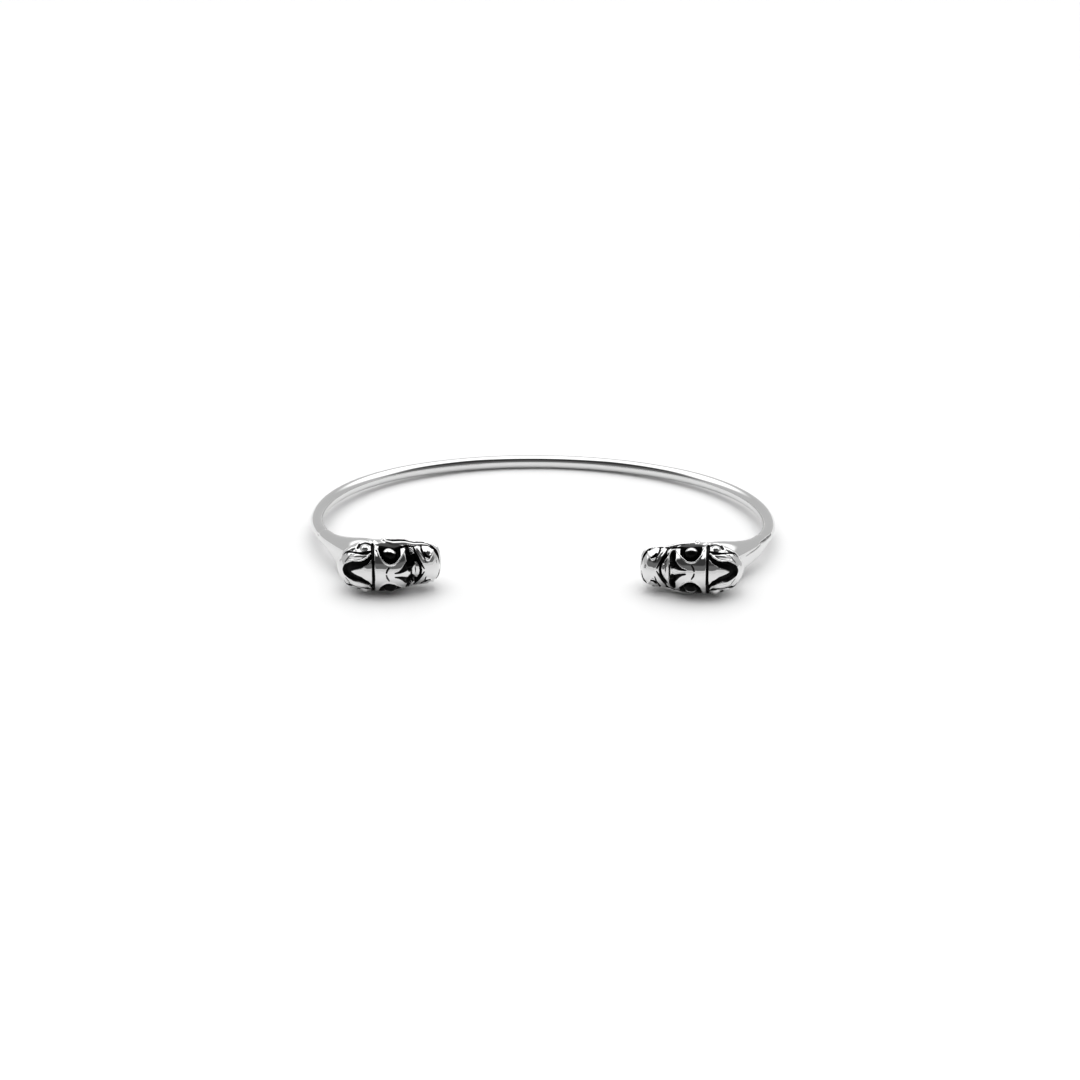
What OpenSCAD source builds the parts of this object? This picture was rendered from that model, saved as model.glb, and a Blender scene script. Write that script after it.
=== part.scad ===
// Open cuff of round silver wire that ends in two dragon heads, nose to nose.
// The cuff lies on its side: +Z is up, the gap between the noses faces -Y,
// and the origin is under the middle of the whole piece. Sizes are millimetres.

/* [Cuff] */
// Width of the cuff across the outside of its wire
cuff_w = 66; // [60:1:70]
// Radius of the round wire
wire_r = 0.95; // [0.85:0.05:1.1]

/* [Heads] */
// Length of a face, from the nose to the collar seam
face_l = 9.1; // [8.6:0.1:9.6]
// Half width of a head across its brow
brow_w = 3.5; // [3.3:0.05:3.7]
// How far each nose turns in towards the wrist, in degrees
nose_turn = 5; // [2:1:8]
// Roll of the left head about its own length, in degrees
left_roll = 2; // [-6:1:10]
// Roll of the right head about its own length, in degrees
right_roll = 9; // [-6:1:12]
// How far the left nose points up, in degrees
left_lift = 1; // [0:0.5:3]
// How far the right nose points down, in degrees
right_dip = 1; // [0:0.5:2]

/* [Relief] */
// Radius of each domed eye
eye_r = 0.92; // [0.8:0.02:1]
// Radius of the round socket that the eye sits in
socket_r = 1.75; // [1.6:0.05:1.8]
// Radius of the raised rim round a socket
rim_r = 0.19; // [0.15:0.01:0.24]
// Radius of the raised upper lip
lip_r = 0.3; // [0.26:0.02:0.34]
// Radius of the cut that parts the lips
mouth_r = 0.2; // [0.14:0.02:0.24]
// Radius of the ball in the curl of each ear
ear_r = 0.75; // [0.65:0.05:0.85]

/* [Hidden] */

// The bends of each half of the wire from the middle of its back: radius and
// turn. It is bent by hand, and the left arm reaches a little further forward.
// The radii suit a cuff 66 wide and are scaled to the width asked for.
BEND_LEFT = [[37.5, 30], [26.6, 60], [20.8, 45], [8.2, 30]];
BEND_RIGHT = [[37.5, 30], [26.6, 60], [19.4, 45], [9.1, 30]];
function bend(side) = side < 0 ? BEND_LEFT : BEND_RIGHT;
BEND_REACH = BEND_LEFT[0][0] * sin(BEND_LEFT[0][1]) + BEND_LEFT[1][0] * (1 - sin(BEND_LEFT[0][1]));
bend_k = (cuff_w / 2 - wire_r) / BEND_REACH;

// The neck: distance back from the end of the wire, and radius there. Its
// rounded end is sunk into the back of the head.
NECK = [
  [-1.7, 0.9],
  [-1.1, 1.8],
  [0, 2.35],
  [2, 2.45],
  [3.5, 2.3],
  [5, 2],
  [6.5, 1.7],
  [8.5, 1.35],
  [10.5, 1.12],
  [12.5, 1.04]
];
neck_l = NECK[len(NECK) - 1][0];
// How far the wire runs on inside the neck.
wire_in_neck = 2;

// The skull: distance back from the nose, half width, height of the crown
// above the axis and depth of the chin below it. It and the relief are drawn
// for one size of face, and scaled to the face asked for.
DRAWN_FACE_L = 9.1;
DRAWN_BROW_W = 3.5;
SKULL = [
  [0.0, 1.55, 1.20, 2.60],
  [0.3, 2.10, 1.80, 3.10],
  [0.9, 2.50, 2.30, 3.50],
  [1.7, 2.70, 2.55, 3.75],
  [2.6, 2.72, 2.45, 3.85],
  [3.4, 2.70, 2.35, 3.90],
  [4.2, 2.85, 2.60, 3.95],
  [4.8, 3.12, 3.60, 4.00],
  [5.6, 3.28, 3.95, 4.00],
  [6.9, 3.43, 4.10, 4.00],
  [8.2, 3.50, 4.15, 3.95],
  [9.1, 3.50, 4.10, 3.90],
  [10.3, 3.40, 3.90, 3.70],
  [11.5, 3.05, 3.35, 3.30],
  [12.5, 2.35, 2.45, 2.75],
  [13.2, 1.40, 1.40, 1.90]
];
WIDTHS = [for (row = SKULL) [row[0], row[1]]];
CROWNS = [for (row = SKULL) [row[0], row[2]]];
CHINS = [for (row = SKULL) [row[0], row[3]]];
along = face_l / DRAWN_FACE_L;
across = brow_w / DRAWN_BROW_W;

// Where the middle of each collar seam sits: out to its side and forward, from
// the middle of the wire's back.
SEAM_LEFT = [23.2, 47.9];
SEAM_RIGHT = [22.9, 47.15];
function seam_at(side) = bend_k * (side < 0 ? SEAM_LEFT : SEAM_RIGHT);
// Half width of a head where its ears touch the surface below.
seat_w = 3.68 * across;
tilt = asin((seat_w - wire_r) / seam_at(-1)[1]);
// How far the brow stands out in front of the middle of the collar seam.
brow_out = 4.02 * across;

// The eye: distance back from the nose and turn from the crown, how deep the
// middle of its dome lies, and how high the middle of the socket's cut is.
EYE = [6.95, 55];
eye_depth = 0.75;
socket_lift = 1;
// Half turn of the rim on either side of the middle of the brow.
RIM_SPAN = 95;

// The curl of a nostril: the middle's distance back and turn, and its reach
// in each of these ways.
NOSTRIL = [1.75, 52];
NOSTRIL_REACH = [0.55, 11];
nostril_r = 0.2;

// The ball of an ear: distance back, turn and height.
EAR = [10.1, 57, -0.3];

// The bridge of the nose: distance back, height over the axis, and radius.
BRIDGE = [[6.2, 3.85, 0.2], [4.0, 2.95, 0.34]];

// Rows of the relief: distance back, turn from the crown, height above the
// skull, and radius of the round tool or bead there.
SEAM = [for (turn = [0 : 25 : 100]) [DRAWN_FACE_L, turn, 0.02, 0.22]];
V_CUT = [[9.25, 46, 0.12, 0.3], [10.8, 28, 0.15, 0.38], [12.0, 20, 0.2, 0.5], [12.8, 4, 0.2, 0.6]];
RECESS = [[4.45, 14, 0.15, 0.45], [4.4, 36, 0.15, 0.65], [4.5, 60, 0.2, 0.5]];
WEDGE = [[6.1, 5, 0.14, 0.18], [4.9, 13, 0.2, 0.42]];
FOLD = [[3.85, 50, 0.0, 0.36], [3.35, 26, 0.12, 0.44], [3.15, 0, 0.16, 0.46]];
SNARL = [[3.7, 70, 0.05, 0.15], [2.75, 44, 0.05, 0.16], [2.2, 16, 0.05, 0.12]];
SNARL_2 = [[2.75, 76, 0.05, 0.13], [2.1, 60, 0.05, 0.13]];
HORN = [[9.9, 76, -0.1, 0.34], [11.0, 77, -0.05, 0.4], [12.2, 72, 0.0, 0.36], [13.1, 60, 0.1, 0.22]];
LOBE = [[9.8, 45, -0.1, 0.3], [11.1, 50, 0.0, 0.42], [12.2, 40, 0.0, 0.36], [13.0, 24, 0.1, 0.2]];
// The upper lip: distance back, height over the axis and half width. It
// runs along the cheek and arches up over the front of the nose.
LIP = [
  [7.2, 0.3, 3.4],
  [5, 0.4, 3.1],
  [2.4, 0.4, 2.7],
  [1.4, 0.95, 2.45],
  [0.8, 1.5, 1.85],
  [0.45, 1.78, 0.95],
  [0.33, 1.85, 0]
];
// The knot at the corner of the mouth: distance back, height and half width.
CORNER = [7.7, 0.3, 3.25];
corner_r = 0.5;
// The mouth, under the lip: the same, and how wide it gapes.
MOUTH = [
  [7.2, -0.2, 3.45, 0.8],
  [5, -0.15, 3.2, 0.8],
  [2.4, -0.2, 2.77, 0.8],
  [1.3, 0.2, 2.6, 1.2],
  [0.55, 0.85, 2.03, 1.6],
  [0.12, 1.2, 1.1, 1.6],
  [0, 1.25, 0, 1.6]
];

// The facets of the round forms, and the distance between rings of the wire.
wire_sides = 12;
skull_sides = 22;
bead_fn = 8;
fine_fn = 6;
ball_fn = 12;
socket_fn = 15;
ring_gap = 3.2;

// Place and heading at distance l along one half of the wire.
function walk(side, l, i = 0, p = [0, 0], h = 0) =
  let (
    row = bend(side)[i],
    r = bend_k * row[0],
    piece = r * row[1] * PI / 180,
    last = l <= piece || i == len(bend(side)) - 1,
    a = last ? h + l / r * 180 / PI : h + row[1],
    q = p + r * [sin(a) - sin(h), cos(a) - cos(h)]
  )
  last ? [q[0], q[1], a] : walk(side, l - piece, i + 1, q, a);

function half_length(side, i = 0) =
  i == len(bend(side)) ? 0
    : bend_k * bend(side)[i][0] * bend(side)[i][1] * PI / 180 + half_length(side, i + 1);

// One round section of the wire; a negative l lies on the left half.
function wire_ring(l, r) =
  let (side = l < 0 ? -1 : 1, w = walk(side, abs(l)))
  [for (k = [0 : wire_sides - 1])
    let (a = 360 * k / wire_sides * side)
    [side * (w[0] + r * cos(a) * sin(w[2])), w[1] + r * cos(a) * cos(w[2]), -r * sin(a) * side]];

// Point on the head: back from the nose, up to the crown, out to one side.
function spot(s, c, w) = [s * along, c * across, w * across];

// Point at a height above the skull, at a turn from the crown.
function on_skull(s, turn, height = 0) =
  let (
    c = lookup(s, cos(turn) >= 0 ? CROWNS : CHINS) * cos(turn),
    w = lookup(s, WIDTHS) * sin(turn),
    k = 1 + height / norm([c, w])
  )
  spot(s, c * k, w * k);

// A closed skin over rings that all have the same number of points.
module loft(rings) {
  n = len(rings[0]);
  last = len(rings) - 1;
  side_faces = [
    for (i = [0 : last - 1], k = [0 : n - 1])
      let (a = i * n + k, b = i * n + (k + 1) % n)
      each [[a, b, b + n], [a, b + n, a + n]]
  ];
  polyhedron(
    points = [for (ring = rings) each ring],
    faces = concat(
      [[for (k = [n - 1 : -1 : 0]) k]],
      side_faces,
      [[for (k = [0 : n - 1]) last * n + k]]
    )
  );
}

// A bead of the given radius at a point.
module bead(place, r, fn = bead_fn) {
  translate(place) sphere(r = r * across, $fn = fn);
}

// A cord of beads over rows of the relief, on the side set by $side.
module strand(rows, fn = bead_fn) {
  for (i = [0 : len(rows) - 2])
    hull()
      for (row = [rows[i], rows[i + 1]])
        bead(on_skull(row[0], row[1] * $side, row[2]), row[3], fn);
}

// Whatever is drawn once for each side of the head.
module both_sides() {
  for ($side = [-1, 1]) children();
}

// The drawn wire, open at the front.
module wire() {
  color("silver") {
    left = neck_l - wire_in_neck - half_length(-1);
    right = half_length(1) - neck_l + wire_in_neck;
    steps = ceil((right - left) / ring_gap);
    loft([for (i = [0 : steps]) wire_ring(left + (right - left) * i / steps, wire_r)]);
  }
}

// The cast neck that the wire is soldered into; side is 1 for the right.
module neck(side) {
  color("silver") {
    loft([
      for (i = [0 : len(NECK) - 1])
        let (row = NECK[side > 0 ? len(NECK) - 1 - i : i])
        wire_ring(side * (half_length(side) - row[0]), row[1])
    ]);
  }
}

// The plain body of the head, with the crown's dip behind the nose.
module skull() {
  color("gainsboro") {
    loft([
      for (row = SKULL)
        [for (k = [0 : skull_sides - 1]) on_skull(row[0], -360 * k / skull_sides)]
    ]);
  }
}

// The snarling folds over the bridge of the nose.
module nose_fold() {
  color("gainsboro") both_sides() strand(FOLD);
}

// The tongue of the brow that runs down the bridge between the wedges.
module bridge() {
  color("gainsboro") {
    hull()
      for (row = BRIDGE) bead(spot(row[0], row[1], 0), row[2]);
  }
}

// The curled wing of each nostril.
module nostrils() {
  color("gainsboro") {
    both_sides() {
      strand([
        for (turn = [-30 : 50 : 220])
          [
            NOSTRIL[0] - NOSTRIL_REACH[0] * cos(turn),
            NOSTRIL[1] + NOSTRIL_REACH[1] * sin(turn),
            0.02,
            nostril_r
          ]
      ], fine_fn);
    }
  }
}

// The domed eyes.
module eyes() {
  color("gainsboro") {
    both_sides() bead(on_skull(EYE[0], EYE[1] * $side, -eye_depth), eye_r, ball_fn);
  }
}

// The raised rim along the brow side of each socket.
module eye_rims() {
  color("white") {
    reach = socket_r + rim_r;
    reach_turn = reach / lookup(EYE[0], CROWNS) * 180 / PI;
    both_sides() {
      strand([
        for (turn = [-RIM_SPAN : RIM_SPAN / 3 : RIM_SPAN])
          [EYE[0] + reach * sin(turn), EYE[1] - reach_turn * cos(turn), 0.04, rim_r]
      ]);
    }
  }
}

// The upper lip, raised from the corner of the mouth round the nose.
module upper_lip() {
  color("white") {
    both_sides() {
      for (i = [0 : len(LIP) - 2])
        hull()
          for (row = [LIP[i], LIP[i + 1]])
            bead(spot(row[0], row[1], row[2] * $side), lip_r);
      bead(spot(CORNER[0], CORNER[1], CORNER[2] * $side), corner_r);
    }
  }
}

// The ears: a ball in a curl, with a horn and a lobe that sweep back.
module ears() {
  color("gainsboro") {
    both_sides() {
      bead(on_skull(EAR[0], EAR[1] * $side, EAR[2]), ear_r, ball_fn);
      strand(HORN);
      strand(LOBE);
    }
  }
}

// Cuts: the mouth, between the upper lip and the jaw.
module mouth_cut() {
  both_sides()
    for (i = [0 : len(MOUTH) - 2])
      hull()
        for (row = [MOUTH[i], MOUTH[i + 1]])
          bead(spot(row[0], row[1], row[2] * $side), mouth_r * row[3], fine_fn);
}

// Cuts: the round sockets of the eyes.
module socket_cuts() {
  both_sides()
    bead(on_skull(EYE[0], EYE[1] * $side, socket_lift), norm([socket_r, socket_lift]), socket_fn);
}

// Cuts: the collar seam, the crest's outline, and the lines of the nose.
module relief_cuts() {
  both_sides() {
    strand(SEAM, fine_fn);
    strand(V_CUT);
    strand(RECESS);
    strand(WEDGE);
    strand(SNARL, fine_fn);
    strand(SNARL_2, fine_fn);
  }
}

// One head. Its nose is at the origin, it runs back along +X, and +Y is its crown.
module head() {
  difference() {
    union() {
      skull();
      nose_fold();
      upper_lip();
    }
    mouth_cut();
    socket_cuts();
    relief_cuts();
  }
  bridge();
  nostrils();
  eyes();
  eye_rims();
  ears();
}

// A head set on the end of the wire on the right, and mirrored on the left.
module set_head(side, roll, lift) {
  mirror([side < 0 ? 1 : 0, 0, 0])
    translate([seam_at(side)[0], -seam_at(side)[1], 0])
      rotate([0, lift, 0])
        rotate([0, 0, -nose_turn])
          rotate([180 - roll, 0, 0])
            translate([-face_l, 0, 0])
              head();
}

// The soldered cuff, tipped so that the heads and the wire's back share a floor.
middle_y = (wire_r - seam_at(-1)[1] - brow_out) / 2;
module cuff() {
  translate([0, -middle_y, wire_r])
    rotate([-tilt, 0, 0]) {
      wire();
      neck(-1);
      neck(1);
      set_head(-1, left_roll, left_lift);
      set_head(1, right_roll, -right_dip);
    }
}

cuff();
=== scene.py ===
# %% [markdown]
# An open cuff of thin silver wire ends in two cast dragon heads, nose to nose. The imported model
# already holds its size and place. This lesson gives it the surface of the real thing: mirror
# polish on everything high, black oxide in everything low. A jeweller cuts such relief in wax
# with small tools, so the lesson does the same with small strokes on a plain head.

# %% The frame and its box
import math
import bpy
import bmesh
import numpy as np
from mathutils import Matrix, Vector


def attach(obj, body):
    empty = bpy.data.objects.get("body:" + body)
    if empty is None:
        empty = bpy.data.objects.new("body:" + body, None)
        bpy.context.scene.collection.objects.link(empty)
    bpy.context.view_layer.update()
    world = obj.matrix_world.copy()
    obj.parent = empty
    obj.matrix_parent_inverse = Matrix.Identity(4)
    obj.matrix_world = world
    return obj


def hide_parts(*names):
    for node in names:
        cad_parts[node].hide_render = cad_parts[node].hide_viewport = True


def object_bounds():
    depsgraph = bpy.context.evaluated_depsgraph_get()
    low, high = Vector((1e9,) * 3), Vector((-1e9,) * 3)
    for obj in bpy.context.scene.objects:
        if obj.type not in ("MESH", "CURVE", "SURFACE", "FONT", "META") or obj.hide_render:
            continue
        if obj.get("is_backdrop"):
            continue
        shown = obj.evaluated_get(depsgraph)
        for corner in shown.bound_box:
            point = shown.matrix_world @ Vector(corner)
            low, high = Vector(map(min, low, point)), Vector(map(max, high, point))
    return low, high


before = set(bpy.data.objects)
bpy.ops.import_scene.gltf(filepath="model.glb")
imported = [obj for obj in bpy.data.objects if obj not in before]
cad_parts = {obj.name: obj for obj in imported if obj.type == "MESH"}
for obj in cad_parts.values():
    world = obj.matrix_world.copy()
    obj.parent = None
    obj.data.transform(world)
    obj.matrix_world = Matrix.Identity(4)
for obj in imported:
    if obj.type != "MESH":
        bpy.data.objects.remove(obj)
CAD_LOW, CAD_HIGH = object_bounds()
MM = 0.001
cuff_width = (CAD_HIGH.x - CAD_LOW.x) / MM
print("cuff across the outside:", round(cuff_width, 2), "mm")

# %% [markdown]
# The photograph looks down at the lying cuff from 22 degrees with a long lens, and the picture is
# turned by less than a degree. A camera far away with a long lens gives the same flat
# perspective. It is aimed a little below the cuff, which puts the cuff above the middle of the
# picture, so no lens shift is needed.

# %% Camera
IMAGE = 1080
SENSOR = 36.0
PIXELS_PER_MM = 7.06
CAMERA_AWAY = 600.0
CAMERA_UP = math.radians(22)
CAMERA_YAW = math.radians(0.3)
CAMERA_ROLL = math.radians(0.7)
AIMED_AT = Vector((0, -4.45, 3.0))
AIMED_PIXEL = (542.8, 523.6)


def make_camera():
    """A camera that puts the point it is aimed at on its pixel of the photograph."""
    back = Vector((math.sin(CAMERA_YAW) * math.cos(CAMERA_UP),
                   -math.cos(CAMERA_YAW) * math.cos(CAMERA_UP), math.sin(CAMERA_UP)))
    right = Vector((math.cos(CAMERA_YAW), math.sin(CAMERA_YAW), 0))
    up = back.cross(right)
    turned_right = right * math.cos(CAMERA_ROLL) + up * math.sin(CAMERA_ROLL)
    turned_up = back.cross(turned_right)
    aside = (IMAGE / 2 - AIMED_PIXEL[0]) / PIXELS_PER_MM
    below = (IMAGE / 2 - AIMED_PIXEL[1]) / PIXELS_PER_MM
    place = AIMED_AT + back * CAMERA_AWAY + turned_right * aside - turned_up * below
    data = bpy.data.cameras.new("camera")
    data.sensor_width = SENSOR
    data.lens = SENSOR * PIXELS_PER_MM * CAMERA_AWAY / IMAGE
    data.clip_start = 0.01
    data.clip_end = 20
    camera = bpy.data.objects.new("camera", data)
    bpy.context.scene.collection.objects.link(camera)
    turn = Matrix((turned_right, turned_up, back)).transposed().to_4x4()
    camera.matrix_world = Matrix.Translation(place * MM) @ turn
    bpy.context.scene.camera = camera
    print("lens", round(data.lens, 1), "mm")


make_camera()

# %% [markdown]
# Every material here is written as arithmetic on sockets. The small class below wraps one socket
# and gives it the usual operators, so that a mask reads like a formula, and `node` makes any
# other node: its settings are set first, then its inputs.


# %% Shader arithmetic
class Signal:
    """One output socket, with arithmetic that adds Math nodes to its tree."""

    def __init__(self, tree, socket):
        self.tree = tree
        self.socket = socket

    def node(self, kind, out=0, settings=None, **inputs):
        """Any node: settings are attributes, inputs are values or signals by socket name or number."""
        made = self.tree.nodes.new(kind)
        for name, value in (settings or {}).items():
            setattr(made, name, value)
        for name, value in inputs.items():
            key = int(name[1:]) if name[0] == "i" and name[1:].isdigit() else name.replace("_", " ")
            if isinstance(value, Signal):
                self.tree.links.new(value.socket, made.inputs[key])
            else:
                made.inputs[key].default_value = value
        return Signal(self.tree, made.outputs[out])

    def math(self, operation, a, b=0.0):
        return self.node("ShaderNodeMath", settings={"operation": operation}, i0=a, i1=b)

    def __add__(self, other):
        return self.math("ADD", self, other)

    __radd__ = __add__

    def __mul__(self, other):
        return self.math("MULTIPLY", self, other)

    __rmul__ = __mul__

    def __sub__(self, other):
        return self.math("SUBTRACT", self, other)

    def __rsub__(self, other):
        return self.math("SUBTRACT", other, self)

    def __truediv__(self, other):
        return self.math("DIVIDE", self, other)

    def between(self, low, high):
        """0 below low, 1 above high, smooth between."""
        return self.node("ShaderNodeMapRange", settings={"interpolation_type": "SMOOTHSTEP"},
                         Value=self, From_Min=low, From_Max=high)

    def mix(self, a, b):
        """Colour a where this signal is 0 and b where it is 1."""
        return self.node("ShaderNodeMix", out=2, settings={"data_type": "RGBA"}, i0=self, i6=a, i7=b)


def grey(value):
    return (value, value, value, 1.0)


# %% [markdown]
# Silver has hardly a colour of its own, so what is seen is the room. In the photograph the room
# is a white table that runs up to the camera, a dark gap over the table's edge, and large white
# softboxes overhead and behind. The dark gap is what draws the black line along the wire's back
# and the grey upper half of each head. Lamps could stand for all of that, but a sky that depends
# on direction alone is simpler and has no edges to hide. Light that scatters off the floor gets a
# sky of its own, brightest straight up, which keeps the contact shadows short, and the camera
# sees plain white behind everything.

# %% Studio sky
SOFTBOX = 1.75
BACKDROP = 0.62
TABLE_EDGE = 0.80
ROOM = 0.17
DARK_GAP = 0.05
PALE = 1.0
OVERHEAD = 2.73
FROM_BEHIND = 1.2
STEEPNESS = 3.0
FRONT_FROM = -0.15
FRONT_TO = 0.3
ROOM_LOW = math.sin(math.radians(12))
ROOM_BLUR = 0.02
GAP_LOW = math.sin(math.radians(38))
GAP_BLUR = 0.06
GAP_HIGH = math.sin(math.radians(76))
BACK_LOW = 0.42
BACK_HIGH = 0.62


def make_sky():
    world = bpy.data.worlds.new("studio")
    bpy.context.scene.world = world
    world.use_nodes = True
    tree = world.node_tree
    tree.nodes.clear()
    start = Signal(tree, tree.nodes.new("ShaderNodeTexCoord").outputs["Generated"])
    parts = tree.nodes.new("ShaderNodeSeparateXYZ")
    tree.links.new(start.socket, parts.inputs[0])
    x, y, z = (Signal(tree, parts.outputs[i]) for i in range(3))
    level = start.math("SQRT", x * x + y * y)
    ahead = (0 - y) / (level + 0.0001)
    front = ahead.between(FRONT_FROM, FRONT_TO)
    high_all_round = z.between(BACK_LOW, BACK_HIGH)
    behind = high_all_round * (SOFTBOX - BACKDROP) + BACKDROP
    in_room = z.between(ROOM_LOW - ROOM_BLUR, ROOM_LOW + ROOM_BLUR)
    in_gap = z.between(GAP_LOW - GAP_BLUR, GAP_LOW + GAP_BLUR)
    over_gap = z.between(GAP_HIGH - ROOM_BLUR, GAP_HIGH + ROOM_BLUR / 2)
    facing = (TABLE_EDGE + in_room * (ROOM - TABLE_EDGE) + in_gap * (DARK_GAP - ROOM)
              + over_gap * (SOFTBOX - DARK_GAP))
    light = behind + front * (facing - behind)
    rays = tree.nodes.new("ShaderNodeLightPath")
    scattered = Signal(tree, rays.outputs["Is Diffuse Ray"])
    seen = Signal(tree, rays.outputs["Is Camera Ray"])
    above = z.math("MAXIMUM", z, 0.0)
    overhead = above.math("POWER", above, STEEPNESS) * (y * FROM_BEHIND + OVERHEAD)
    light = light + scattered * (overhead - light)
    shown = light + seen * (PALE - light)
    sky = tree.nodes.new("ShaderNodeBackground")
    tree.links.new(shown.socket, sky.inputs["Color"])
    out = tree.nodes.new("ShaderNodeOutputWorld")
    tree.links.new(sky.outputs[0], out.inputs["Surface"])
    bpy.context.scene.view_settings.view_transform = "Standard"
    print("sky: softboxes", SOFTBOX, "dark gap", DARK_GAP)


make_sky()

# %% [markdown]
# The floor is a white sheet with a faint gloss, just bright enough to burn out to white, so that
# only the contact shadows and a soft trace of the metal remain on it.

# %% Floor
FLOOR_HALF = 2.5
FLOOR_WHITE = 0.93
FLOOR_ROUGH = 0.35
FLOOR_GLOSS = 0.2


def make_floor():
    bm = bmesh.new()
    bmesh.ops.create_grid(bm, x_segments=2, y_segments=2, size=FLOOR_HALF)
    mesh = bpy.data.meshes.new("floor")
    bm.to_mesh(mesh)
    bm.free()
    floor = bpy.data.objects.new("floor", mesh)
    bpy.context.scene.collection.objects.link(floor)
    paper = bpy.data.materials.new("white_sheet")
    paper.use_nodes = True
    shader = paper.node_tree.nodes["Principled BSDF"]
    shader.inputs["Base Color"].default_value = grey(FLOOR_WHITE)
    shader.inputs["Roughness"].default_value = FLOOR_ROUGH
    shader.inputs["Specular IOR Level"].default_value = FLOOR_GLOSS
    floor.data.materials.append(paper)
    floor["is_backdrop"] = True
    print("floor", 2 * FLOOR_HALF, "m wide")


make_floor()

# %% [markdown]
# The wire lies in one plane, bent in four arcs on each side that tighten towards the heads. `walk`
# follows those arcs to any distance from the middle of the back. The left arm is bent to reach a
# little further forward. The plane is tipped, because the heads are thicker than the wire and
# rest on their lower ears.

# %% The path of the wire
WIRE_R = 0.95
BEND = {"left": ((37.5, 30), (26.6, 60), (20.8, 45), (8.2, 30)),
        "right": ((37.5, 30), (26.6, 60), (19.4, 45), (9.1, 30))}
DRAWN_REACH = 37.5 * math.sin(math.radians(30)) + 26.6 * (1 - math.sin(math.radians(30)))
bend_k = (cuff_width / 2 - WIRE_R) / DRAWN_REACH
WIRE_L = {side: sum(bend_k * r * math.radians(turn) for r, turn in BEND[side]) for side in BEND}
SEAM_AT = {"left": Vector((23.2, -47.9, 0)) * bend_k,
           "right": Vector((22.9, -47.15, 0)) * bend_k}
SEAT_W = 3.68
TILT = math.asin((SEAT_W - WIRE_R) / -SEAM_AT["left"].y)
BACK_Y = CAD_HIGH.y / MM - WIRE_R


def walk(side, distance):
    """Place and heading in the wire's plane at a distance from the back's middle."""
    x = y = heading = 0.0
    for i, (radius, turn) in enumerate(BEND[side]):
        r = radius * bend_k
        arc = r * math.radians(turn)
        last = distance <= arc or i == len(BEND[side]) - 1
        after = heading + (distance / r if last else math.radians(turn))
        x += r * (math.sin(after) - math.sin(heading))
        y += r * (math.cos(after) - math.cos(heading))
        if last:
            return x, y, after
        distance -= arc
        heading = after


LAY_DOWN = Matrix.Translation((0, BACK_Y, WIRE_R)) @ Matrix.Rotation(-TILT, 4, "X")
print("wire tipped by", round(math.degrees(TILT), 2), "degrees")

# %% [markdown]
# A tube that follows the path starts as a circle. Its edge is extruded from station to station
# and carried there by the move from one station to the next, so the rings never twist. A curve
# with a bevel would do for the wire, but the same helper makes the necks, which swell.


# %% Tubes along the path
def station(distance, radius):
    """The move that takes a unit circle to its place on the path, with a minus for the left."""
    x, y, heading = walk("left" if distance < 0 else "right", abs(distance))
    hand = -1 if distance < 0 else 1
    turn = Matrix.Rotation(-heading * hand, 4, "Z") @ Matrix.Rotation(math.pi / 2, 4, "Y")
    return Matrix.Translation((hand * x, y, 0)) @ turn @ Matrix.Scale(radius, 4)


def sweep(bm, stations, sides):
    """Skin over circles, given as (distance, radius) rows, closed at both ends."""
    here = station(*stations[0])
    made = bmesh.ops.create_circle(bm, cap_ends=True, segments=sides, radius=1, matrix=here)
    ring = made["verts"]
    edges = [e for e in bm.edges if e.verts[0] in ring and e.verts[1] in ring]
    for row in stations[1:]:
        there = station(*row)
        grown = bmesh.ops.extrude_edge_only(bm, edges=edges)["geom"]
        edges = [g for g in grown if isinstance(g, bmesh.types.BMEdge)]
        verts = [g for g in grown if isinstance(g, bmesh.types.BMVert)]
        bmesh.ops.transform(bm, matrix=there @ here.inverted(), verts=verts)
        edges = [e for e in edges if e.verts[0] in verts and e.verts[1] in verts]
        here = there
    bmesh.ops.contextual_create(bm, geom=edges)


def eased(x, rows):
    """A table of two columns read at x, with its corners eased by a cubic through the rows."""
    xs, ys = (np.array(c, float) for c in zip(*rows))
    slope = np.gradient(ys, xs)
    i = np.clip(np.searchsorted(xs, x) - 1, 0, len(xs) - 2)
    step = xs[i + 1] - xs[i]
    t = np.clip((x - xs[i]) / step, 0, 1)
    return ((1 + 2 * t) * (1 - t) ** 2 * ys[i] + t * (1 - t) ** 2 * step * slope[i]
            + t * t * (3 - 2 * t) * ys[i + 1] + t * t * (t - 1) * step * slope[i + 1])


# %% [markdown]
# A head is first a plain lump: its profile table gives half width, crown and chin at distances
# back from the nose. A ball is drawn out over that table, because a ball is closed at both ends.
# Near the poles the sections shrink to nothing, which rounds the nose and the nape.

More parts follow.
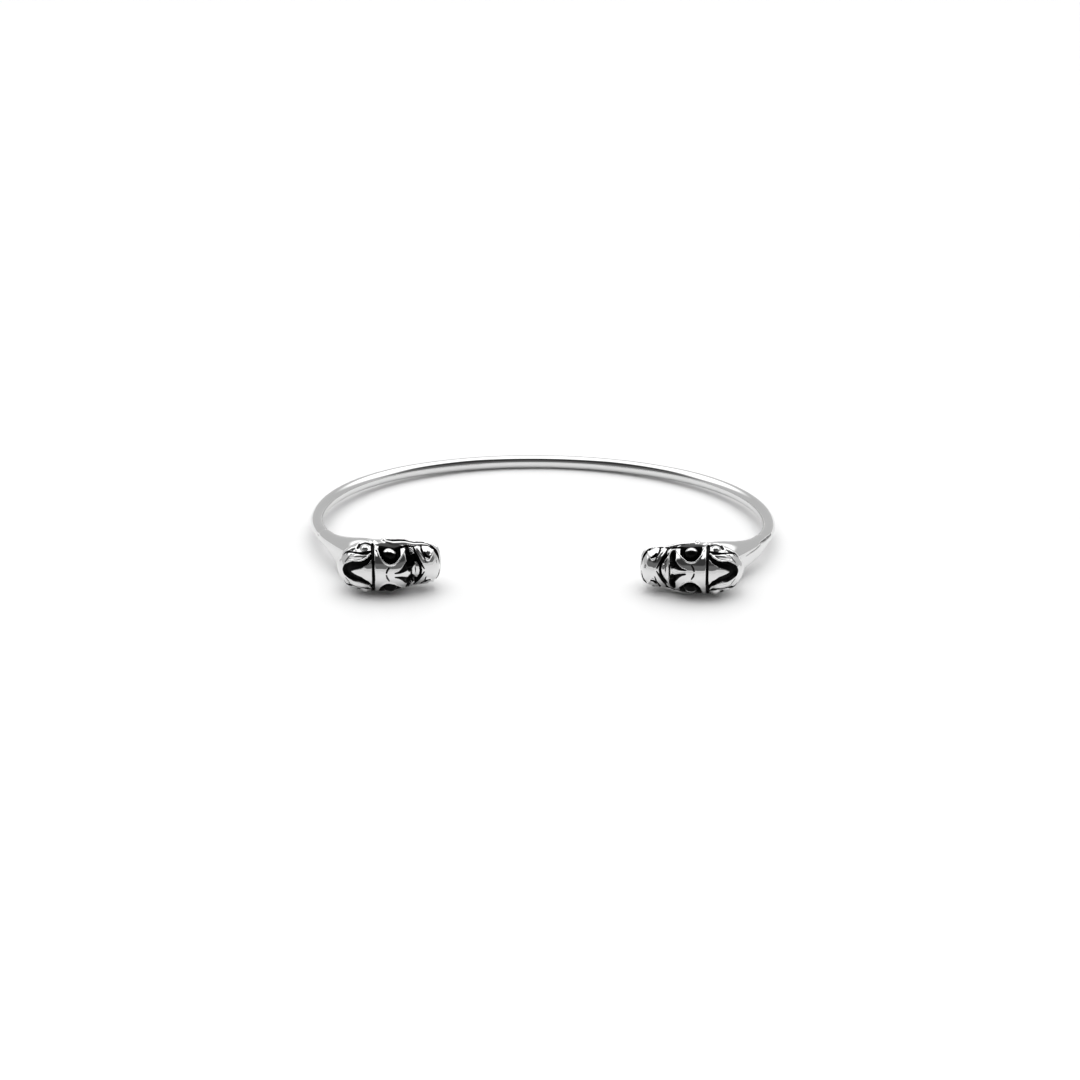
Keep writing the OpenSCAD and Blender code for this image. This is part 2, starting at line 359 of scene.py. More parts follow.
# %% The plain head
FACE_L = 9.1
NOSE_TURN = math.radians(5)
ROLL = {"left": math.radians(2), "right": math.radians(9)}
LIFT = {"left": math.radians(1), "right": math.radians(-1)}
PROFILE = (
    (-0.14, 0.0, 0.0, 0.0),
    (-0.10, 0.9, 0.65, 1.5),
    (0.02, 1.55, 1.25, 2.65),
    (0.3, 2.10, 1.80, 3.10),
    (0.9, 2.50, 2.30, 3.50),
    (1.7, 2.70, 2.55, 3.75),
    (2.6, 2.74, 2.45, 3.85),
    (3.4, 2.74, 2.35, 3.90),
    (3.8, 2.82, 2.45, 3.92),
    (4.15, 2.90, 3.30, 3.95),
    (4.8, 3.12, 3.70, 4.00),
    (5.6, 3.28, 3.95, 4.00),
    (6.9, 3.43, 4.10, 4.00),
    (8.2, 3.50, 4.15, 3.95),
    (9.1, 3.50, 4.10, 3.90),
    (10.3, 3.40, 3.90, 3.70),
    (11.5, 3.05, 3.30, 3.30),
    (12.5, 2.55, 2.60, 2.85),
    (13.3, 1.90, 1.80, 2.20),
    (13.9, 0.90, 0.85, 1.20),
    (14.1, 0.0, 0.0, 0.0),
)
TABLE_STEPS = 400
EASING = 10
BALL_ROUND = 160
BALL_ALONG = 200


def fine_profile():
    """The profile table, sampled evenly along its outline and eased."""
    rows = np.array(PROFILE)
    run = np.hypot(np.diff(rows[:, 0]), np.diff(rows[:, 2] * 0.5 + rows[:, 1] * 0.5))
    along = np.concatenate([[0], np.cumsum(run)])
    even = np.linspace(0, along[-1], TABLE_STEPS)
    fine = np.stack([np.interp(even, along, rows[:, c]) for c in range(4)], axis=1)
    for _ in range(EASING):
        fine[1:-1] = (fine[:-2] + 2 * fine[1:-1] + fine[2:]) / 4
    return fine


FINE = fine_profile()
print("head from nose to nape:", round(FINE[-1, 0] - FINE[0, 0], 2), "mm")


def on_head(back, turn, height=0.0):
    """Point on the plain head: distance back, turn from the crown in degrees, height above."""
    half, crown, chin = (np.interp(back, FINE[:, 0], FINE[:, c]) for c in (1, 2, 3))
    a = math.radians(turn)
    up = (crown if math.cos(a) >= 0 else chin) * math.cos(a)
    out = half * math.sin(a)
    k = 1 + height / max(math.hypot(up, out), 0.01)
    return (back, up * k, out * k)


def draw_out_head(bm):
    """A ball drawn out over the profile, nose at the origin, back along X, crown along Y."""
    ball = bmesh.ops.create_uvsphere(bm, u_segments=BALL_ROUND, v_segments=BALL_ALONG, radius=1)
    for v in ball["verts"]:
        row = FINE[round(math.acos(max(-1, min(1, v.co.z))) / math.pi * (TABLE_STEPS - 1))]
        turn = math.atan2(v.co.y, v.co.x)
        up = (row[2] if math.cos(turn) >= 0 else row[3]) * math.cos(turn)
        v.co = (row[0], up, row[1] * math.sin(turn))
    return ball["verts"]


# %% [markdown]
# No two castings are alike. The left snout is twisted a little towards its lower side and is
# fuller on its upper side. Both are functions of the distance back from the nose, and both can
# be undone, so that a stroke drawn for the plain head lands in the right place on each casting.
# `head_move` then sets a head on the end of its arm, and `skull_height` tells how far any point
# lies over the plain head.

# %% The two castings
TWIST = {"left": ((0, 6), (6.2, 6), (8.4, 0)), "right": ((0, 0), (14, 0))}
UPPER = {"left": ((0, 1.08), (4.6, 1.08), (6.6, 1)), "right": ((0, 1), (14, 1))}


def twisted(local, side):
    """Points in the head's own axes after this casting's twist and growth."""
    angle = np.radians(np.interp(local[:, 0], *zip(*TWIST[side])))
    grown = np.where(local[:, 2] < 0, np.interp(local[:, 0], *zip(*UPPER[side])), 1)
    y, z = local[:, 1], local[:, 2] * grown
    return np.stack([local[:, 0], y * np.cos(angle) - z * np.sin(angle),
                     y * np.sin(angle) + z * np.cos(angle)], axis=1)


def untwisted(local, side):
    angle = np.radians(np.interp(local[:, 0], *zip(*TWIST[side])))
    y = local[:, 1] * np.cos(angle) + local[:, 2] * np.sin(angle)
    z = local[:, 2] * np.cos(angle) - local[:, 1] * np.sin(angle)
    grown = np.where(z < 0, np.interp(local[:, 0], *zip(*UPPER[side])), 1)
    return np.stack([local[:, 0], y, z / grown], axis=1)


def head_move(side):
    """From the head's own axes to the wire's plane."""
    mirror = Matrix.Diagonal((-1 if side == "left" else 1, 1, 1, 1))
    return (mirror @ Matrix.Translation(SEAM_AT[side]) @ Matrix.Rotation(LIFT[side], 4, "Y")
            @ Matrix.Rotation(-NOSE_TURN, 4, "Z") @ Matrix.Rotation(math.pi - ROLL[side], 4, "X")
            @ Matrix.Translation((-FACE_L, 0, 0)))


def in_head_axes(points, side):
    back_move = np.array(head_move(side).inverted())
    return untwisted(points @ back_move[:3, :3].T + back_move[:3, 3], side)


def skull_height(local):
    """Height of points, in the head's own axes, above the plain head."""
    half, crown, chin = (np.interp(local[:, 0], FINE[:, 0], FINE[:, c]) for c in (1, 2, 3))
    tall = np.where(local[:, 1] >= 0, crown, chin)
    size = np.hypot(local[:, 1] / np.maximum(tall, 0.05), local[:, 2] / np.maximum(half, 0.05))
    away = np.hypot(local[:, 1], local[:, 2])
    beyond = np.maximum(FINE[0, 0] - local[:, 0], local[:, 0] - FINE[-1, 0])
    return np.maximum(away * (1 - 1 / np.maximum(size, 0.05)), beyond)


# %% [markdown]
# The neck is cast with the head. It is thickest where it leaves the back of the head and thins
# down to the wire, whose end it covers. Its table gives the distance back from the end of the
# path and the radius there. On the real cuff the outer lower side of each neck is fuller, so it
# swells there. The right neck has two file marks and the crease of the solder, which runs on
# along the wire, and the left has one nick. Each is a line of distance along the neck, way
# round it from its outside, 0 and radius.

# %% The neck
NECK = (
    (-1.7, 0.9),
    (-1.1, 1.8),
    (0, 2.35),
    (2, 2.45),
    (3.5, 2.3),
    (5, 2.0),
    (6.5, 1.7),
    (8.5, 1.35),
    (10.5, 1.14),
    (11.8, 1.07),
    (12.4, 1.03),
    (12.8, 0.975),
    (13.4, 0.958),
    (14.6, 0.959),
    (15.6, 0.946),
)
NECK_STEP = 0.12
SWELL = 0.55
SWELL_START = 2
SWELL_RISE = 2.5
SWELL_END = {"left": 11.0, "right": 13.5}
SWELL_FALL = 5
UNDER_FROM = -8
UNDER_RISE = 45
UNDER_TO = -170
UNDER_FALL = 60
NECK_GROOVE = 0.06
GROOVE_WALL = 0.1
GROOVE_WIDER = 0.2
NECK_INK = 0.6
NECK_LINES = {
    "left": (((13.2, 0.25, 0, 0.05), (12.6, 0.2, 0, 0.14), (12.0, 0.25, 0, 0.05)),),
    "right": (((9.9, 0.72, 0, 0.08), (11.4, 0.62, 0, 0.2), (13.2, 0.5, 0, 0.22), (15.3, 0.42, 0, 0.08)),
              ((5.2, 0.15, 0, 0.1), (6.6, 0.24, 0, 0.12), (8.4, 0.28, 0, 0.12), (9.8, 0.44, 0, 0.08)),
              ((5.4, -1.35, 0, 0.07), (8.0, -0.95, 0, 0.08), (11.0, -0.75, 0, 0.05))),
}


def along_neck(points, side):
    """For each point: distance from the neck's skin, place along it and turn round it."""
    hand = -1 if side == "left" else 1
    skin = np.full(len(points), 1e9)
    back = np.zeros(len(points))
    angle = np.zeros(len(points))
    for row in np.arange(NECK[0][0], NECK[-1][0], NECK_STEP):
        x, y, heading = walk(side, WIRE_L[side] - row)
        off = points - np.array((hand * x, y, 0))
        gap = np.linalg.norm(off, axis=1) - eased(row, NECK)
        nearer = gap < skin
        skin[nearer] = gap[nearer]
        back[nearer] = row
        outward = np.array((hand * math.sin(heading), math.cos(heading), 0))
        angle[nearer] = np.arctan2(off[nearer, 2], off[nearer] @ outward)
    return skin, back, np.degrees(angle)


# %% [markdown]
# numpy moves all the points of a dense mesh at once, which a loop would take minutes for. These
# helpers read the points and their normals, make an object from a bmesh, and apply modifiers.


# %% Mesh helpers
def coordinates(mesh):
    flat = np.empty(len(mesh.vertices) * 3)
    mesh.vertices.foreach_get("co", flat)
    return flat.reshape(-1, 3)


def normals(mesh):
    flat = np.empty(len(mesh.vertices) * 3, np.float32)
    mesh.vertex_normals.foreach_get("vector", flat)
    return flat.reshape(-1, 3).astype(float)


def new_object(name, bm):
    mesh = bpy.data.meshes.new(name)
    bm.to_mesh(mesh)
    bm.free()
    obj = bpy.data.objects.new(name, mesh)
    bpy.context.scene.collection.objects.link(obj)
    return obj


def settle(obj):
    """Applies the object's modifiers to its mesh."""
    seen = obj.evaluated_get(bpy.context.evaluated_depsgraph_get())
    mesh = bpy.data.meshes.new_from_object(seen)
    obj.modifiers.clear()
    old = obj.data
    obj.data = mesh
    bpy.data.meshes.remove(old)


def smooth(obj, name, factor, steps, group=""):
    """Adds a Smooth modifier, over the whole mesh or over a group of its points."""
    made = obj.modifiers.new(name, "SMOOTH")
    made.factor = factor
    made.iterations = steps
    made.vertex_group = group


# %% [markdown]
# Head and neck are melted into one skin by a voxel remesh, as wax would be, and then smoothed.
# A boolean would leave a hard seam between them. The points near both surfaces are put in a
# group and smoothed most, so that the neck flows out of the head.

# %% Head and neck in one skin
VOXEL = 0.082
NECK_SIDES = 64
JOINT_REACH = 1.3
JOINT_FAINT = 0.02
EVEN = 0.5
EVEN_STEPS = 8
FLOW = 0.9
FLOW_STEPS = 70


def plain_head(side):
    """Head and neck as one smooth skin, in the wire's plane, in millimetres."""
    bm = bmesh.new()
    made = draw_out_head(bm)
    for v, place in zip(made, twisted(np.array([v.co for v in made]), side)):
        v.co = place
    bmesh.ops.transform(bm, matrix=head_move(side), verts=made)
    hand = -1 if side == "left" else 1
    backs = np.arange(NECK[0][0], NECK[-1][0], NECK_STEP)
    rows = [(hand * (WIRE_L[side] - back), float(eased(back, NECK))) for back in backs]
    sweep(bm, rows, NECK_SIDES)
    bmesh.ops.recalc_face_normals(bm, faces=bm.faces)
    head = new_object(f"dragon_head_{side}", bm)
    melt = head.modifiers.new("melt", "REMESH")
    melt.mode = "VOXEL"
    melt.voxel_size = VOXEL
    settle(head)
    co = coordinates(head.data)
    near_neck = np.clip(1 - np.abs(along_neck(co, side)[0]) / JOINT_REACH, 0, 1)
    near_head = np.clip(1 - np.abs(skull_height(in_head_axes(co, side))) / JOINT_REACH, 0, 1)
    weight = near_neck * near_head
    group = head.vertex_groups.new(name="joint")
    for i in np.nonzero(weight > JOINT_FAINT)[0]:
        group.add([int(i)], float(weight[i]), "REPLACE")
    smooth(head, "even", EVEN, EVEN_STEPS)
    smooth(head, "flow", FLOW, FLOW_STEPS, group.name)
    settle(head)
    print(head.name, "plain skin:", len(head.data.polygons), "faces")
    return head


# %% [markdown]
# Four tools cut the relief. `press` pushes a groove or pit into the skin and stains it with
# oxide, `bead` lays a rounded cord on the skin and polishes its top, `leave` keeps a flat island
# in what has been cut, and `polish` wipes the oxide off. `ink` says how black a cut gets and
# `clean` how well a bead is rubbed bright. A stroke is rows of a point and a radius, given by
# distance back and turn from the crown. Both sides of the face are cut at once, because each
# point is measured with its sideways distance made positive. A texture could show the lines,
# but only real hollows catch the room's reflections.


# %% The relief tools
STAIN_REACH = 0.07
STAIN_FADE = 0.06
BEAD_CLEAN = 0.35
POLISH_EDGE = 1.1
POLISH_FADE = 0.2
SEARCH_RADII = 1.6
SEARCH_MORE = 0.05
FAR = 9.0


def on_skin(rows):
    """Strokes given on the skin: distance back, turn, radius."""
    return [(*on_head(back, turn), radius) for back, turn, radius in rows]


def reach(points, stroke):
    """How far each point is from a stroke, in radii of the stroke there, and that radius."""
    stroke = np.array(stroke, float)
    q = np.full(len(points), FAR)
    r = np.full(len(points), 1.0)
    if len(stroke) == 1:
        stroke = np.repeat(stroke, 2, axis=0)
    for a, b in zip(stroke[:-1], stroke[1:]):
        widest = max(a[3], b[3]) * SEARCH_RADII + SEARCH_MORE
        low = np.minimum(a[:3], b[:3]) - widest
        high = np.maximum(a[:3], b[:3]) + widest
        near = np.nonzero(((points > low) & (points < high)).all(axis=1))[0]
        span = b[:3] - a[:3]
        t = np.clip((points[near] - a[:3]) @ span / max(span @ span, 1e-9), 0, 1)
        radius = a[3] + t * (b[3] - a[3])
        away = np.linalg.norm(points[near] - a[:3] - t[:, None] * span, axis=1) / radius
        closer = away < q[near]
        q[near[closer]] = away[closer]
        r[near[closer]] = radius[closer]
    return q, r


def smooth_step(x):
    x = np.clip(x, 0, 1)
    return x * x * (3 - 2 * x)


class Relief:
    """Height over the plain head and stain at each point of one head."""

    def __init__(self, local):
        self.points = local * np.array((1, 1, 0)) + np.abs(local) * np.array((0, 0, 1))
        self.height = np.zeros(len(local))
        self.stain = np.zeros(len(local))

    def press(self, stroke, depth, wall=0.14, ink=1.0):
        q, r = reach(self.points, stroke)
        beyond = (q - 1) * r
        inside = smooth_step(-beyond / wall)
        sunk = self.height * (1 - inside) - depth * inside
        self.height = np.minimum(self.height, sunk)
        self.stain = np.maximum(self.stain, ink * smooth_step((STAIN_REACH - beyond) / STAIN_FADE))

    def bead(self, stroke, lift=0.0, clean=1.0):
        q, r = reach(self.points, stroke)
        top = lift + r * np.sqrt(np.clip(1 - q * q, 0, 1))
        wins = (q < 1) & (top > self.height)
        self.height = np.where(wins, top, self.height)
        polished = clean * smooth_step((1 - q) / BEAD_CLEAN)
        self.stain = np.where(wins, self.stain * (1 - polished), self.stain)

    def leave(self, stroke, height=0.0, wall=0.1, ink=0.0):
        """Leaves a flat-topped island in what has been cut."""
        q, r = reach(self.points, stroke)
        inside = smooth_step((1 - q) * r / wall)
        self.height = self.height * (1 - inside) + height * inside
        self.stain = self.stain * (1 - inside) + ink * inside

    def polish(self, stroke):
        q, _ = reach(self.points, stroke)
        self.stain = self.stain * (1 - smooth_step((POLISH_EDGE - q) / POLISH_FADE))


# %% [markdown]
# The face, from the nose back: a padded snout with snarling lines, a nostril on each side, a fold
# behind the snout, a deep pit, and the brow, whose tongue runs down to the pit between two
# wedges. Round domed eyes sit in sunk sockets under a dark hood, with a bright rim below. The
# upper lip runs as one bright band from the corner of the mouth to the nose. All of the tables
# below read distance back from the nose, turn from the crown and radius, unless they say
# otherwise.

# %% Strokes of the face
EYE = (6.9, 51.5)
EYE_SHINE = ((6.4, 55.5, 0.4), (7.4, 55.5, 0.4))
SOCKET = ((6.9, 47, 1.48), (6.9, 58, 1.52))
HOOD = ((5.0, 68, 0.3), (6.0, 71, 0.5), (6.9, 72.5, 0.6), (7.8, 71.5, 0.5), (8.7, 68, 0.3))
RIM = ((8.8, 66, 0.14), (8.7, 55, 0.17), (8.52, 50, 0.14), (8.35, 40, 0.12), (8.0, 31, 0.12),
       (7.5, 24, 0.12), (7.0, 22.5, 0.12), (6.4, 25, 0.12), (5.85, 33, 0.12), (5.3, 44, 0.12),
       (5.0, 54, 0.13), (4.8, 60, 0.14))
CHEEK_LINE = ((6.0, 64, 0.14), (5.3, 67, 0.22), (4.6, 71, 0.24), (4.0, 75, 0.24), (3.4, 79, 0.22),
              (2.7, 81.5, 0.2), (1.9, 82, 0.2), (1.3, 80, 0.22), (0.8, 74, 0.24), (0.45, 62, 0.2))
RECESS = {"left": ((4.2, 13, 0.42), (4.05, 22, 0.72), (3.98, 34, 0.9), (4.0, 46, 0.9),
                   (4.3, 57, 0.6)),
          "right": ((4.45, 13, 0.3), (4.35, 22, 0.48), (4.3, 34, 0.6), (4.3, 46, 0.56),
                    (4.4, 56, 0.38))}
PIT = ((3.98, 0, 0.27), (3.98, 8, 0.28), (4.04, 16, 0.32), (4.2, 26, 0.35))
WEDGE = ((6.25, 5, 0.07), (5.7, 6.5, 0.15), (5.25, 10, 0.27), (4.85, 15, 0.4), (4.5, 22, 0.45))
TONGUE = ((6.2, 0, 0.16), (5.5, 0, 0.24), (4.9, 0, 0.3), (4.62, 0, 0.32))
FROWN = ((7.45, 3, 0.07), (7.35, 9, 0.1), (7.1, 16, 0.07))
FOLD = ((3.15, 0, 0.42), (3.2, 12, 0.38), (3.36, 20, 0.22))
PAD_GAP = ((2.65, 0, 0.13), (2.75, 12, 0.14), (3.03, 24, 0.15), (3.38, 37, 0.16), (3.65, 48, 0.16))
PAD_EDGE = ((2.4, 0, 0.1), (2.5, 12, 0.1), (2.78, 24, 0.1), (3.12, 36, 0.1), (3.35, 46, 0.06))
SNARL = ((3.6, 70, 0.1), (3.38, 51, 0.14), (3.0, 34, 0.15), (2.6, 19, 0.12), (2.2, 5, 0.05))
SNARL_2 = ((2.55, 74, 0.1), (2.5, 58, 0.12), (2.4, 48, 0.1), (2.15, 37, 0.07), (1.95, 23, 0.04))
SPIKES = (((4.0, 68, 0.16), (3.8, 60, 0.18), (3.55, 50, 0.1)),
          ((3.1, 72, 0.22), (2.95, 62, 0.22), (2.75, 48, 0.14), (2.45, 38, 0.06)))
NOSTRIL_PIT = ((2.1, 50, 0.12), (1.9, 41, 0.2), (1.5, 36, 0.14))
WING = ((0.95, 62, 0.17), (1.15, 45, 0.17), (1.6, 30, 0.15), (2.2, 34, 0.13), (2.65, 50, 0.14),
        (2.8, 60, 0.12))
# Lips and mouth: distance back, height over the axis, half width, radius.
LIP = ((7.3, 0.46, 3.4, 0.3), (6.5, 0.7, 3.3, 0.36), (5.4, 0.67, 3.12, 0.37),
       (4.2, 0.48, 2.82, 0.35), (3.2, 0.38, 2.7, 0.32), (2.4, 0.32, 2.72, 0.28),
       (1.8, 0.4, 2.66, 0.22), (1.3, 0.45, 2.6, 0.1))
MOUTH = ((7.3, 0.0, 3.48, 0.42), (5.0, 0.0, 3.2, 0.4), (3.0, -0.1, 2.75, 0.36),
         (2.1, -0.08, 2.74, 0.36), (1.3, 0.3, 2.6, 0.34), (0.75, 0.7, 2.3, 0.34),
         (0.3, 1.0, 1.7, 0.32), (0.05, 1.1, 0.9, 0.2), (-0.05, 1.25, 0.4, 0.08))
JAW = ((7.2, -0.66, 3.46, 0.26), (5.0, -0.64, 3.2, 0.26), (3.0, -0.72, 2.75, 0.25),
       (1.8, -0.75, 2.72, 0.22), (1.0, -0.6, 2.5, 0.2), (0.35, -0.35, 2.2, 0.18),
       (0.0, 0.0, 1.4, 0.16), (-0.1, 0.2, 0, 0.16))
print("eye on the plain head at", [round(c, 2) for c in on_head(*EYE)])

# %% [markdown]
# Behind the collar seam lies the mane: a smooth crest plate in a black V, and on each side a
# lobe, a horn and the curl of an ear round its ball.

# %% Strokes of the mane
COLLAR = ((9.22, 0, 0.18), (9.22, 15, 0.18), (9.22, 30, 0.2), (9.22, 45, 0.25), (9.22, 60, 0.25),
          (9.22, 74, 0.18))
COLLAR_EDGE = tuple((8.93, turn, 0.1) for turn in range(0, 61, 10))
V_CUT = ((9.55, 38, 0.32), (10.2, 26, 0.4), (11.0, 20, 0.5), (12.0, 17.5, 0.62), (12.85, 8, 0.62),
         (12.95, 0, 0.62))
V_EDGE = ((9.65, 45, 0.1), (9.95, 37, 0.1), (10.6, 31, 0.1), (11.2, 29, 0.11), (12.1, 34, 0.12),
          (12.8, 30, 0.1))
S_LINE = ((9.5, 51, 0.14), (10.05, 48, 0.33), (10.6, 47, 0.27), (11.2, 50, 0.16), (11.6, 54, 0.12),
          (12.2, 61, 0.1), (12.8, 65, 0.08), (13.2, 64, 0.05))
EAR = (10.32, 63)
BALL_LINE = ((9.5, 70, 0.12), (9.75, 77, 0.2), (10.2, 81, 0.22), (10.85, 79, 0.22), (11.2, 66, 0.16))
CURL = ((9.9, 86, 0.14), (10.3, 90, 0.2), (10.9, 88, 0.22), (11.35, 75, 0.2), (11.45, 60, 0.14))
HORN = ((11.35, 72, 0.36), (12.0, 71, 0.52), (12.8, 67, 0.45), (13.4, 61, 0.2))
LOBE = ((10.1, 43, 0.3), (10.8, 41, 0.5), (11.6, 42, 0.52), (12.4, 46, 0.36))
NOTCH = ((12.15, 52, 0.08), (12.6, 42, 0.1), (12.95, 32, 0.08))
KNOT = (7.6, 92, 0.45)
TUFTS = (((8.5, 76, 0.14), (8.9, 86, 0.22)),
         ((9.15, 78, 0.13), (9.5, 88, 0.2)),
         ((9.75, 83, 0.1), (9.9, 88, 0.14)))
JAW_LINES = (((9.4, 108, 0.08), (7.6, 116, 0.12), (5.4, 120, 0.08)),
             ((10.6, 112, 0.07), (9.4, 122, 0.1), (8.0, 128, 0.06)))
print("ear on the plain head at", [round(c, 2) for c in on_head(*EAR)])

# %% [markdown]
# The order of the strokes matters as it does in wax: pits first, then what stands in them, then
# the fine lines that are cut last. The number after each stroke is its depth in millimetres, or
# its bead's lift, which is negative because every bead is sunk a little into the skin.


# %% The order of the strokes
def cut_relief(relief, side):
    """All the strokes of one head, in the order that they are cut."""
    relief.press(on_skin(RECESS[side]), 1.1)
    relief.press(on_skin(PIT), 0.6)
    relief.press(on_skin(WEDGE), 0.34)
    relief.press(on_skin(SOCKET), 0.85)
    relief.leave(on_skin(HOOD), 0.03, ink=0.7)
    relief.press(on_skin(CHEEK_LINE), 0.35)
    relief.press(MOUTH, 0.55)
    relief.bead(JAW, lift=-0.04)
    relief.bead(LIP, lift=-0.04)
    relief.bead(on_skin([KNOT]), lift=-0.1)
    relief.bead(on_skin(FOLD), lift=-0.24)
    relief.leave(on_skin(TONGUE), -0.04)
    relief.press(on_skin(PAD_GAP), 0.45)
    relief.bead(on_skin(PAD_EDGE), lift=-0.03)
    for spike in SPIKES:
        relief.bead(on_skin(spike), lift=-0.1)
    relief.bead(on_skin(WING), lift=-0.02)
    relief.press(on_skin(NOSTRIL_PIT), 0.35)
    relief.press(on_skin(SNARL), 0.3)
    relief.press(on_skin(SNARL_2), 0.28)
    # Each eyeball keeps the socket's oxide and is polished only on its cap. Its black lower half is
    # partly oxide and partly painted reflection of the dark socket and the dark gap.
    relief.bead(on_skin([(*EYE, 1.08)]), lift=-0.72, clean=0.0)
    relief.polish(on_skin(EYE_SHINE))
    relief.bead(on_skin(RIM), lift=-0.02)
    relief.press(on_skin(FROWN), 0.12)
    relief.press(on_skin(V_CUT), 0.5)
    relief.press(on_skin(COLLAR), 0.36)
    relief.bead(on_skin(COLLAR_EDGE), lift=-0.05)
    relief.bead(on_skin(V_EDGE), lift=-0.04)
    relief.bead(on_skin(LOBE), lift=-0.3)
    relief.bead(on_skin(HORN), lift=-0.24)
    relief.bead(on_skin(CURL), lift=-0.06)
    relief.press(on_skin(S_LINE), 0.32)
    relief.bead(on_skin([(*EAR, 0.82)]), lift=-0.5)
    relief.press(on_skin(BALL_LINE), 0.25)
    relief.press(on_skin(NOTCH), 0.12, ink=0.6)
    for tuft in TUFTS:
        relief.bead(on_skin(tuft), lift=-0.05)
    for line in JAW_LINES:
        relief.press(on_skin(line), 0.12, ink=0.5)


# %% [markdown]
# Each plain skin is now moved along its normals by the relief, where the skin is the head's, and
# by the swell and the lines of the neck, where it is the neck's. The stain is kept as an
# attribute on the points, which the silver reads. The head was made in millimetres, because
# voxels can't be small enough for metres, and is scaled and laid down at the end.

# %% Carving the heads
SKIN_DEEP = 0.9
SKIN_FADE = 0.5
NECK_CLEAR = 0.25
NECK_FADE = 0.3
NECK_DEEP = 0.4
HEAD_CLEAR = 0.3
HEAD_FADE = 0.6
LAST_EVEN = 0.35


def neck_shape(side, back, angle):
    """Lift and stain of the points of one neck, from their place along it and round it."""
    full = (smooth_step((back - SWELL_START) / SWELL_RISE)
            * smooth_step((SWELL_END[side] - back) / SWELL_FALL))
    under = (smooth_step((UNDER_FROM - angle) / UNDER_RISE)
             * smooth_step((angle - UNDER_TO) / UNDER_FALL))
    lift = SWELL * full * under
    stain = np.zeros(len(back))
    unrolled = np.stack([back, np.radians(angle) * eased(back, NECK), back * 0], axis=1)
    for line in NECK_LINES[side]:
        q, r = reach(unrolled, line)
        groove = smooth_step((1 - q) * r / GROOVE_WALL + GROOVE_WIDER) * (q < 2)
        lift -= NECK_GROOVE * groove
        stain = np.maximum(stain, NECK_INK * groove)
    return lift, stain


def carve(head, side):
    """Moves the skin of a plain head by its relief and keeps the stain as an attribute."""
    co = coordinates(head.data)
    local = in_head_axes(co, side)
    relief = Relief(local)
    cut_relief(relief, side)
    over_head = skull_height(local)
    over_neck, back, angle = along_neck(co, side)
    on_head_skin = (smooth_step((SKIN_DEEP - np.abs(over_head)) / SKIN_FADE)
                    * smooth_step((over_neck + NECK_CLEAR) / NECK_FADE))
    on_neck_skin = (smooth_step((over_head - HEAD_CLEAR) / HEAD_FADE)
                    * (np.abs(over_neck) < NECK_DEEP))
    neck_lift, neck_stain = neck_shape(side, back, angle)
    lift = relief.height * on_head_skin + neck_lift * on_neck_skin
    stain = np.maximum(relief.stain * on_head_skin, neck_stain * on_neck_skin)
    co = co + normals(head.data) * lift[:, None]
    head.data.vertices.foreach_set("co", co.ravel())
    head.data.update()
    oxide = head.data.attributes.new("oxide", "FLOAT", "POINT")
    oxide.data.foreach_set("value", stain.astype(np.float32))
    smooth(head, "even", LAST_EVEN, 2)
    settle(head)
    head.data.transform(Matrix.Scale(MM, 4) @ LAY_DOWN)
    head.data.shade_smooth()
    deep, high = relief.height.min(), relief.height.max()
    print(head.name, "relief from", round(deep, 2), "to", round(high, 2), "mm")


heads = {}
for hand in ("left", "right"):
    heads[hand] = plain_head(hand)
    carve(heads[hand], hand)

# %% [markdown]
# The wire is drawn through a plate, so it is a plain round tube of one thickness. Its ends are
# hidden in the necks, as the soldered ends of the real one are.

# %% Wire
NECK_COVERS = 14.5
WIRE_STEP = 0.4
WIRE_SIDES = 40


def make_wire():
    bm = bmesh.new()
    start = NECK_COVERS - WIRE_L["left"]
    end = WIRE_L["right"] - NECK_COVERS
    steps = math.ceil((end - start) / WIRE_STEP)
    rows = [(start + (end - start) * i / steps, WIRE_R) for i in range(steps + 1)]
    sweep(bm, rows, WIRE_SIDES)
    bmesh.ops.recalc_face_normals(bm, faces=bm.faces)
    wire = new_object("wire", bm)
    wire.data.transform(Matrix.Scale(MM, 4) @ LAY_DOWN)
    wire.data.shade_smooth()
    print("wire:", len(wire.data.polygons), "faces")
    return wire


wire = make_wire()

# %% [markdown]
# One silver serves the whole cuff. Its colour is near white and neutral, and all of it is metal.
# The oxide attribute turns it black and duller in the recesses. Wear shows as clouds in the gloss
# and a very faint unevenness, which a bump map is enough for, so the reflections are a little
# soft as in the photograph.

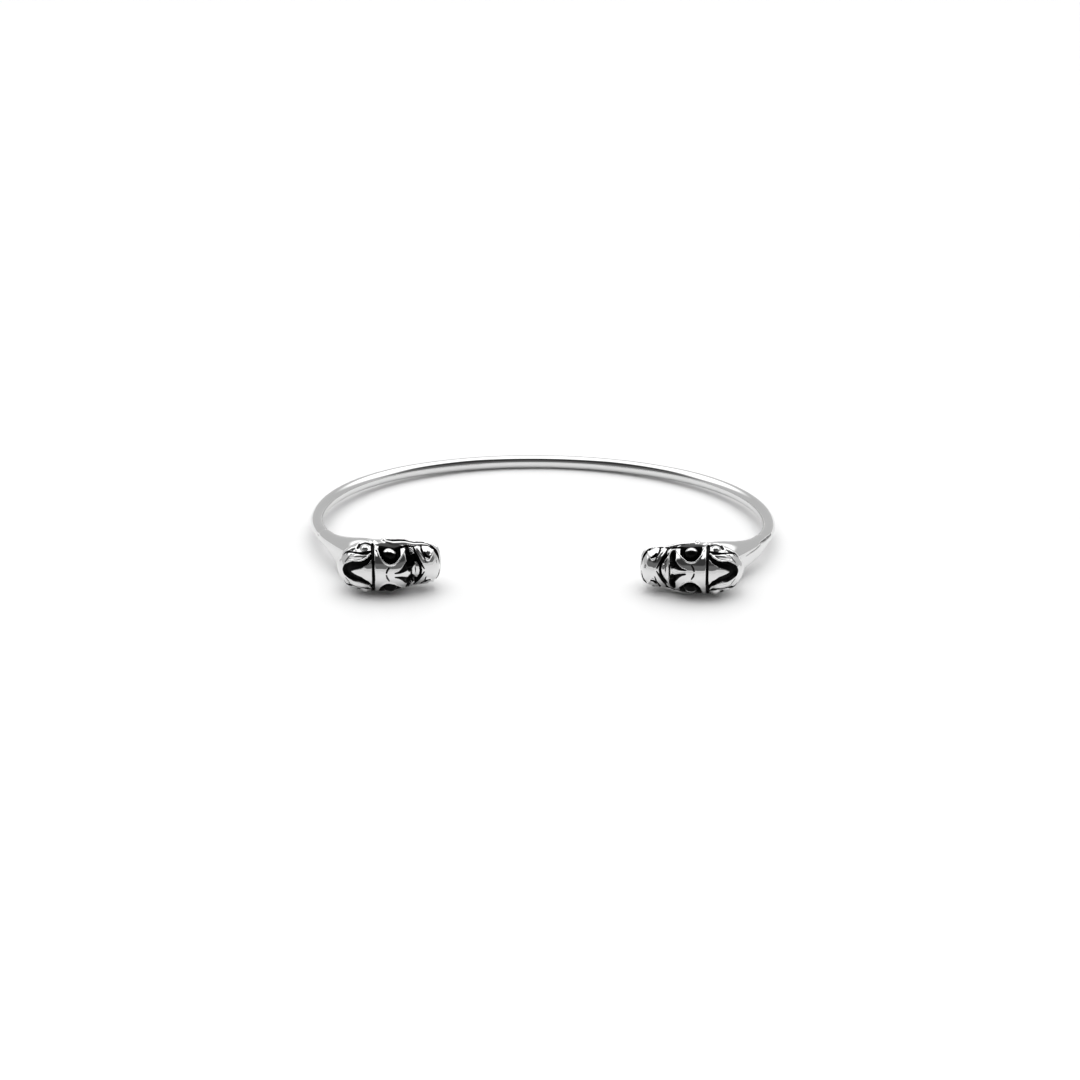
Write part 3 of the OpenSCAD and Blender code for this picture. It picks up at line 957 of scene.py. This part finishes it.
# %% Silver
SILVER = 0.72
OXIDE = 0.007
BLACK_FROM = 0.3
BLACK_TO = 0.75
GLOSS = 0.03
GLOSS_CLOUDS = 0.05
GLOSS_OXIDE = 0.25
CLOUDS = 700.0
CLOUDS_PART = 0.7
GRAIN = 5200.0
GRAIN_PART = 0.3
UNEVEN = 0.07
UNEVEN_DEEP = 0.00003


def make_silver():
    silver = bpy.data.materials.new("oxidised_silver")
    silver.use_nodes = True
    tree = silver.node_tree
    shader = tree.nodes["Principled BSDF"]
    place = Signal(tree, tree.nodes.new("ShaderNodeTexCoord").outputs["Object"])
    stained = tree.nodes.new("ShaderNodeAttribute")
    stained.attribute_name = "oxide"
    oxide = Signal(tree, stained.outputs["Fac"])
    cloudy = place.node("ShaderNodeTexNoise", Vector=place, Scale=CLOUDS, Detail=3.0)
    fine = place.node("ShaderNodeTexNoise", Vector=place, Scale=GRAIN, Detail=2.0)
    black = oxide.between(BLACK_FROM, BLACK_TO)
    colour = black.mix(grey(SILVER), grey(OXIDE))
    rough = GLOSS + cloudy * GLOSS_CLOUDS + black * GLOSS_OXIDE
    tree.links.new(colour.socket, shader.inputs["Base Color"])
    tree.links.new(rough.socket, shader.inputs["Roughness"])
    shader.inputs["Metallic"].default_value = 1.0
    bumped = place.node("ShaderNodeBump", Strength=UNEVEN, Distance=UNEVEN_DEEP,
                        Height=cloudy * CLOUDS_PART + fine * GRAIN_PART)
    tree.links.new(bumped.socket, shader.inputs["Normal"])
    print("silver", SILVER, "oxide", OXIDE)
    return silver


silver = make_silver()
for piece in (*heads.values(), wire):
    piece.data.materials.clear()
    piece.data.materials.append(silver)

# %% [markdown]
# Each piece rides on the one body of the cuff, stands for the solid of the imported model and takes
# the silver made above.

# %% Pieces on the frame
for piece in (*heads.values(), wire):
    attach(piece, "root")
    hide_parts("cuff")

low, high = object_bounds()
past = [round(v / MM, 2) for v in (*(CAD_LOW - low), *(high - CAD_HIGH))]
print("past the packed box by", past, "mm")
